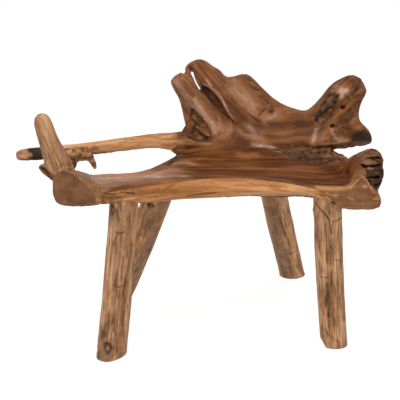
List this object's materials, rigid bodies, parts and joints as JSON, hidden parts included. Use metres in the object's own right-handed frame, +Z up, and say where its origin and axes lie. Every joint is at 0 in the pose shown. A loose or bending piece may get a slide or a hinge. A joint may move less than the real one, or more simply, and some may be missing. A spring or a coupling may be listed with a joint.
{
  "type": "rustic root bench",
  "caption": "Rustic bench carved from teak root: dished seat with a sawn end block, swept root back with a split lobe, side limb, slab arm post and splayed pole legs.",
  "frame": {"origin": "on the floor, under the middle of the bench's bounding box", "axes": "+X along the bench's width, from the sawn end block to the root arm; +Y from the front edge of the seat to the back; +Z up"},
  "size_m": [0.9854, 0.6658, 0.6859],
  "materials": {
    "polished_teak": "polished and waxed root teak",
    "weathered_teak": "dry, weathered teak with cracks",
    "dowel_beech": "plain dowel wood",
    "zinc_screw": "zinc plated"
  },
  "bodies": {
    "root": {"seat_root": "polished_teak", "back_root": "polished_teak", "side_rail": "weathered_teak", "arm_post": "weathered_teak", "leg_front_left": "weathered_teak", "leg_front_right": "weathered_teak", "leg_rear_left": "weathered_teak", "leg_rear_right": "weathered_teak", "back_dowel_1": "dowel_beech", "back_dowel_2": "dowel_beech", "back_dowel_3": "dowel_beech", "back_dowel_4": "dowel_beech", "leg_screw_front_left_1": "zinc_screw", "leg_screw_front_left_2": "zinc_screw", "leg_screw_front_right_1": "zinc_screw", "leg_screw_front_right_2": "zinc_screw", "leg_screw_rear_left_1": "zinc_screw", "leg_screw_rear_left_2": "zinc_screw", "leg_screw_rear_right_1": "zinc_screw", "leg_screw_rear_right_2": "zinc_screw"}
  },
  "joints": []
}
